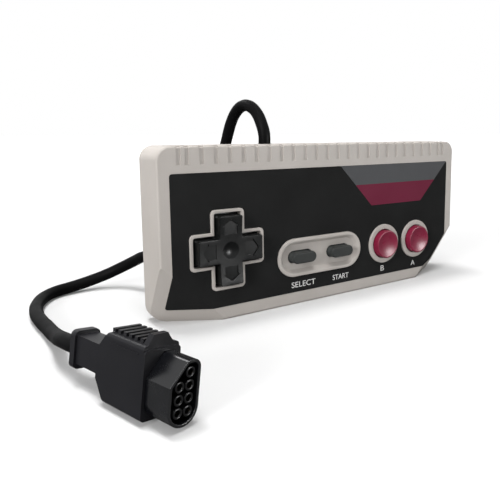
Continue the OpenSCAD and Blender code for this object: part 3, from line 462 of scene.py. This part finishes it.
def plated(name, dark, light, rough, scratches):
    """A bright metal with so many scratches a metre, all in one direction."""
    finish = Finish(name, Metallic=1.0)
    stretched = finish.add("ShaderNodeMapping", {}, {"Vector": finish.here,
        "Scale": SCRATCH_STRETCH}, "Vector")
    lines = finish.noise(scratches, detail=4, place=stretched)
    patches = finish.noise(PLATING_PATCHES)
    finish.feed("Base Color", finish.blend(finish.spread(patches), dark, light))
    finish.feed("Roughness", finish.spread(lines, *rough))
    finish.bump(lines, SCRATCH_STRENGTH, SCRATCH_DEEP)
    FINISHES[name] = finish.material


plated("steel", dark=(0.48, 0.49, 0.5), light=(0.6, 0.61, 0.62), rough=(0.22, 0.38),
    scratches=900)
plated("contact_metal", dark=(0.5, 0.36, 0.12), light=(0.62, 0.47, 0.2), rough=(0.2, 0.34),
    scratches=1200)
print("finishes with the metals:", len(FINISHES))

# %% The board's green mask
BLACK = (0, 0, 0, 1)
WHITE = (1, 1, 1, 1)
MASK_GREEN = (0.012, 0.085, 0.03)
TRACK_GREEN = (0.03, 0.16, 0.06)
MASK_ROUGH = (0.25, 0.38)
MASK_PATCHES = 500
TRACKS = 150
TRACK_W = 0.03
TRACK_STRENGTH = 0.5
TRACK_T = 0.00004


def laminate(name):
    """Green mask whose copper tracks stand out a little, as the joints of a brick wall do."""
    finish = Finish(name)
    tracks = finish.add("ShaderNodeTexBrick", {"offset": 0.5}, {"Vector": finish.here,
        "Scale": TRACKS, "Mortar Size": TRACK_W, "Color1": BLACK, "Color2": BLACK,
        "Mortar": WHITE}, "Fac")
    finish.feed("Base Color", finish.blend(tracks, MASK_GREEN, TRACK_GREEN))
    finish.feed("Roughness", finish.spread(finish.noise(MASK_PATCHES), *MASK_ROUGH))
    finish.bump(tracks, TRACK_STRENGTH, TRACK_T)
    FINISHES[name] = finish.material


laminate("board_laminate")
print("finishes in all:", len(FINISHES))

# %% [markdown]
# ### Floor
# The floor is pale paper. What the camera sees of it, what it throws back as soft light and what
# shows in reflections are three separate greys, so that the view stays white around the
# object while the paper neither floods the dark plastic with light nor mirrors in it. Far from
# the object the paper glows by itself, for the camera only. Just the close shadow is left.

# %% Floor finish
PAPER_DARK = (0.61, 0.61, 0.61)
PAPER_LIGHT = (0.63, 0.63, 0.63)
PAPER_BOUNCE = (0.48, 0.48, 0.48)
PAPER_MIRRORED = (0.12, 0.12, 0.12)
PAPER_PATCHES = 3
NEAR_GLOW = 0.06
FAR_GLOW = 0.8
GLOW_STARTS = 0.08
GLOW_FULL = 0.9


def floor_paper():
    """The floor's finish, with three greys for the three ways it is seen, and its glow."""
    finish = Finish("floor", Roughness=0.9)
    camera_sees = finish.add("ShaderNodeLightPath", {}, {}, "Is Camera Ray")
    mirrored = finish.add("ShaderNodeLightPath", {}, {}, "Is Glossy Ray")
    paper = finish.blend(finish.noise(PAPER_PATCHES), PAPER_DARK, PAPER_LIGHT)
    unseen = finish.blend(mirrored, PAPER_BOUNCE, PAPER_MIRRORED)
    finish.feed("Base Color", finish.blend(camera_sees, unseen, paper))
    distance = finish.add("ShaderNodeVectorMath", {"operation": "LENGTH"}, {0: finish.here},
        "Value")
    far_off = finish.spread(distance, 0.0, FAR_GLOW, GLOW_STARTS, GLOW_FULL)
    glow = finish.add("ShaderNodeEmission", {}, {"Color": WHITE,
        "Strength": camera_sees * (far_off + NEAR_GLOW)}, "Emission")
    both = finish.tree.nodes.new("ShaderNodeAddShader")
    finish.tree.links.new(finish.shader.outputs[0], both.inputs[0])
    finish.tree.links.new(glow.socket, both.inputs[1])
    finish.tree.links.new(both.outputs[0], finish.output.inputs["Surface"])
    return finish.material


floor.data.materials.append(floor_paper())
print("floor finish:", floor.data.materials[0].name)

# %% [markdown]
# ### Which solid gets which finish
# The record names a material slot for each CAD node, so the solids are coated in one loop.

# %% Every solid takes the finish that the record gives it
SLOTS = {entry["node"]: entry["material_slot"] for entry in frame["record"]["subparts"]}


def coat(piece, slot, finish=None):
    """Gives a piece a finish, by itself the one named as its slot."""
    piece.data.materials.clear()
    piece.data.materials.append(FINISHES[finish or slot])


for name, solid in frame["nodes"].items():
    coat(solid, SLOTS[name])
coat(cord, "cord_black")
print("solids coated:", len(SLOTS))

# %% [markdown]
# ## Soft edges
# No moulded edge is sharp: it catches a thin line of light. The CAD solids have true sharp
# edges, so each visible one is copied, its loose triangles are merged back into flat faces, and
# every sharp edge gets a small round bevel. The copy then stands for the solid.

# %% Copy a solid with its sharp edges rounded
MERGE_M = 0.000002
FLAT_DEG = 0.6
SHARP_DEG = 25
FLAT_WEIGHT = 90


def softened(node, passes, finish=None):
    """A copy of a CAD solid with bevelled edges. Each pass is a width in millimetres and a
    test of an edge's middle point; an edge takes the first pass whose test it meets."""
    source = frame["nodes"][node]
    bm = bmesh.new()
    bm.from_mesh(source.data)
    bmesh.ops.remove_doubles(bm, verts=bm.verts, dist=MERGE_M)
    bmesh.ops.dissolve_limit(bm, angle_limit=math.radians(FLAT_DEG), verts=bm.verts,
        edges=bm.edges)
    turn_at = bm.edges.layers.int.new("turn_at")
    for edge in bm.edges:
        if edge.is_manifold and edge.calc_face_angle() > math.radians(SHARP_DEG):
            middle = (edge.verts[0].co + edge.verts[1].co) / 2 / MM
            tests = [number for number, (_, test) in enumerate(passes, 1) if test(middle)]
            edge[turn_at] = tests[0] if tests else 0
    for number, (width_mm, _) in enumerate(passes, 1):
        edges = [edge for edge in bm.edges if edge[turn_at] == number]
        bmesh.ops.bevel(bm, geom=edges, offset=width_mm * MM, affect="EDGES", segments=2,
            profile=0.5, material=-1, clamp_overlap=True)
    for face in bm.faces:
        face.smooth = True
    piece = object_of(node + "_soft", mesh_of(node + "_soft", bm))
    flat = piece.modifiers.new("flat_faces", "WEIGHTED_NORMAL")
    flat.weight = FLAT_WEIGHT
    coat(piece, SLOTS[node], finish)
    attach(piece, source["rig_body"])
    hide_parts(node)
    print(piece.name, "faces:", len(piece.data.polygons))


def everywhere(_):
    """The test that every edge meets."""
    return True


# %% [markdown]
# ### Case, cross and keys
# The raised rims around the cross, the keys and the buttons are rounder than the grooved top
# edge, whose lands are narrow. On the cross the outline is well rounded, where a thumb pushes
# against it, but the arrows and the dimple in its face stay crisp.

# %% The case and its faceplate
RIM_PROUD = 0.3
TOP_EDGE_Z = 45


def box_mm(node):
    """The low and high corners of a CAD node, in millimetres."""
    return tuple(Vector(corner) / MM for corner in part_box(node))


face_y = box_mm("faceplate")[0].y
softened("front_shell", [(0.22, lambda p: p.y < face_y - RIM_PROUD),
    (0.12, lambda p: p.z > TOP_EDGE_Z), (0.2, everywhere)])
softened("rear_shell", [(0.2, everywhere)])
softened("faceplate", [(0.08, everywhere)])

# %% The cross and the keys
ARM_L = 10.6
ARM_W = 7.6
OUTLINE_BAND = 0.3
cross_low, cross_high = box_mm("cross")
cross_at = (cross_low + cross_high) / 2


def on_face(p):
    """Whether a point lies well within the outline of the cross."""
    u, v = abs(p.x - cross_at.x), abs(p.z - cross_at.z)
    return min(u, v) < ARM_W / 2 - OUTLINE_BAND and max(u, v) < ARM_L - OUTLINE_BAND


softened("cross", [(0.08, on_face), (0.4, lambda p: p.y < face_y)])
for node in ("select_key", "start_key"):
    softened(node, [(0.12, lambda p: p.y < face_y)])

# %% [markdown]
# ### Plug
# The plug is two mouldings: a matte grip with small even edges, and a smoother hood that goes
# into the port. The hood's long upper edges are rounder, so that they carry a line of light.

# %% The plug and what holds the cord
RIDGE_DEEP = 1.6
RIDGE_HALF_L = 1.2
softened("plug_body", [(0.28, everywhere)])
hood_low, hood_high = box_mm("plug_hood")
hood_at = (hood_low + hood_high) / 2


def on_ridge(p):
    """Whether a point lies on the long upper edges of the plug's hood."""
    return p.z > hood_high.z - RIDGE_DEEP and abs(p.y - hood_at.y) < RIDGE_HALF_L


softened("plug_hood", [(0.4, on_ridge), (0.12, everywhere)], finish="hood_black")
softened("plug_insert", [(0.2, everywhere)], finish="socket_black")
for node in ("coil_tie", "cord_grommet", "lead_tie"):
    softened(node, [(0.15, everywhere)])

# %% [markdown]
# ### Lips of the sockets
# Each socket's mouth has a thick rounded lip, narrower than the tube behind it, that leads a pin
# to its sleeve. A lip is a ring of round section, spun about the socket's own axis, which the
# record gives as a mount.

# %% Spin a lip at the mouth of each socket
SLEEVE_SINK = 2.0
LIP_R = 0.86
LIP_THICK = 0.26
LIP_PROUD = 0.06
LIP_SEGMENTS = 14
LIP_STEPS = 32
SEAM_MM = 0.0001


def close_spun(bm):
    """Merges the seam and the poles of a spun bmesh in millimetres, and makes it metres."""
    bmesh.ops.remove_doubles(bm, verts=bm.verts, dist=SEAM_MM)
    bmesh.ops.recalc_face_normals(bm, faces=bm.faces)
    bmesh.ops.scale(bm, vec=(MM, MM, MM), verts=bm.verts)
    for face in bm.faces:
        face.smooth = True


def spin_lip(bm, mount):
    """Adds one ring, a little proud of the mouth of the socket that a mount stands for."""
    axis = Vector(mount["axis"]).normalized()
    side = axis.cross(Vector((0, 0, 1))).normalized()
    ahead = mount["dims"]["length_mm"] / 2 + SLEEVE_SINK + LIP_PROUD - LIP_THICK
    middle = Vector(mount["pos_m"]) / MM + axis * ahead
    turned = Matrix((side, axis, side.cross(axis))).transposed().to_4x4()
    ring = bmesh.ops.create_circle(bm, cap_ends=False, segments=LIP_SEGMENTS, radius=LIP_THICK,
        matrix=Matrix.Translation(middle + side * LIP_R) @ turned)["verts"]
    edges = list({edge for vert in ring for edge in vert.link_edges})
    bmesh.ops.spin(bm, geom=ring + edges, cent=middle, axis=axis, angle=math.tau,
        steps=LIP_STEPS, use_merge=True)


lips_bm = bmesh.new()
for mount in frame["record"]["mounts"]:
    if mount["kind"] == "bore":
        spin_lip(lips_bm, mount)
close_spun(lips_bm)
lips = object_of("socket_lips", mesh_of("socket_lips", lips_bm))
coat(lips, SLOTS["plug_insert"], "socket_black")
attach(lips, frame["nodes"]["plug_insert"]["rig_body"])
print(lips.name, "faces:", len(lips.data.polygons))

# %% [markdown]
# ## Round buttons
# A round button is a turned shape: a shallow dish, a rounded rim, a straight wall and, inside
# the case, its flange and its plunger. Spinning one profile about the button's axis gives an
# even ring of faces, so the highlight in the dish stays smooth.

# %% The profile of a button
BUTTON_R = 5.15
RIM_R = 0.35
DISH_R = 4.6
DISH_DEEP = 0.7
WALL_BEHIND_FACE = 2.3
FLANGE_T = 1.0
PLUNGER_R = 3.0
DISH_STEPS = 10
RIM_STEPS = 5


def arc(middle, radius, start_deg, end_deg, count):
    """Points of an arc in the plane of radius and depth, its ends included."""
    angles = [math.radians(start_deg + (end_deg - start_deg) * i / count)
        for i in range(count + 1)]
    return [(middle[0] + radius * math.cos(a), middle[1] + radius * math.sin(a)) for a in angles]


def button_profile(low, high):
    """Points of radius and depth, from the middle of the dish round to the plunger's end."""
    flange_r = (high.x - low.x) / 2
    wall_back = face_y - low.y + WALL_BEHIND_FACE
    ball_r = (DISH_R ** 2 + DISH_DEEP ** 2) / (2 * DISH_DEEP)
    half = math.degrees(math.asin(DISH_R / ball_r))
    dish = arc((0, DISH_DEEP - ball_r), ball_r, 90, 90 - half, DISH_STEPS)
    rim = arc((BUTTON_R - RIM_R, RIM_R), RIM_R, -90, 0, RIM_STEPS)
    return dish + rim + [(BUTTON_R, wall_back), (flange_r, wall_back),
        (flange_r, wall_back + FLANGE_T), (PLUNGER_R, wall_back + FLANGE_T),
        (PLUNGER_R, high.y - low.y), (0, high.y - low.y)]


print("a button is", 2 * BUTTON_R, "mm across and its dish", 2 * DISH_R)

# %% Spin each button from its profile
BUTTON_STEPS = 96
CREASE_DEG = 40


def spun_button(node):
    """Spins a button's profile about its axis, and lets it stand for the CAD solid."""
    low, high = box_mm(node)
    middle = (low + high) / 2
    bm = bmesh.new()
    verts = [bm.verts.new((middle.x + r, low.y + depth, middle.z))
        for r, depth in button_profile(low, high)]
    edges = [bm.edges.new(pair) for pair in zip(verts, verts[1:])]
    bmesh.ops.spin(bm, geom=verts + edges, cent=(middle.x, low.y, middle.z), axis=(0, 1, 0),
        angle=math.tau, steps=BUTTON_STEPS, use_merge=True)
    close_spun(bm)
    mesh = mesh_of(node + "_spun", bm)
    mesh.set_sharp_from_angle(angle=math.radians(CREASE_DEG))
    piece = object_of(node + "_spun", mesh)
    coat(piece, SLOTS[node])
    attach(piece, frame["nodes"][node]["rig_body"])
    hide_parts(node)
    print(piece.name, "faces:", len(mesh.polygons))


for node in ("button_a", "button_b"):
    spun_button(node)

# %% [markdown]
# ## Legends
# The plain words under the keys and the letters under the buttons are printed. A text object
# gives their outlines with a hair's thickness. It is made a mesh first, and then stretched
# over the place of its print. The list gives each legend's span across and its span in height.

# %% Print the legends
LEGENDS = {
    "SELECT": ((-17.05, -7.35), (5.7, 7.6)),
    "START": ((0.18, 7.28), (5.65, 7.5)),
    "B": ((22.85, 24.55), (5.6, 7.6)),
    "A": ((38.82, 40.87), (5.45, 7.35)),
}
INK_T = 0.02


def legend(words, across, upward):
    """Words printed on the faceplate over a span across and a span in height."""
    letters = bpy.data.curves.new("legend_" + words.lower(), "FONT")
    letters.body = words
    letters.extrude = INK_T / 2
    drawn = object_of(letters.name, letters)
    solid = drawn.evaluated_get(bpy.context.evaluated_depsgraph_get())
    mesh = bpy.data.meshes.new_from_object(solid)
    mesh.name = letters.name
    bpy.data.objects.remove(drawn)
    low = Vector(tuple(min(v.co[k] for v in mesh.vertices) for k in range(3)))
    high = Vector(tuple(max(v.co[k] for v in mesh.vertices) for k in range(3)))
    size = Vector((across[1] - across[0], upward[1] - upward[0], INK_T))
    fit = Matrix.Diagonal([size[k] / (high[k] - low[k]) for k in range(3)]).to_4x4()
    place = Matrix.Translation((across[0], face_y + INK_T / 2, upward[0]))
    mesh.transform(Matrix.Scale(MM, 4) @ place @ Matrix.Rotation(math.radians(90), 4, "X")
        @ fit @ Matrix.Translation(-low))
    piece = object_of(mesh.name, mesh)
    coat(piece, "legend_white", "legend_ink")
    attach(piece, "case")
    return piece


for words, (across, upward) in LEGENDS.items():
    print(legend(words, across, upward).name, "spans", across, upward)
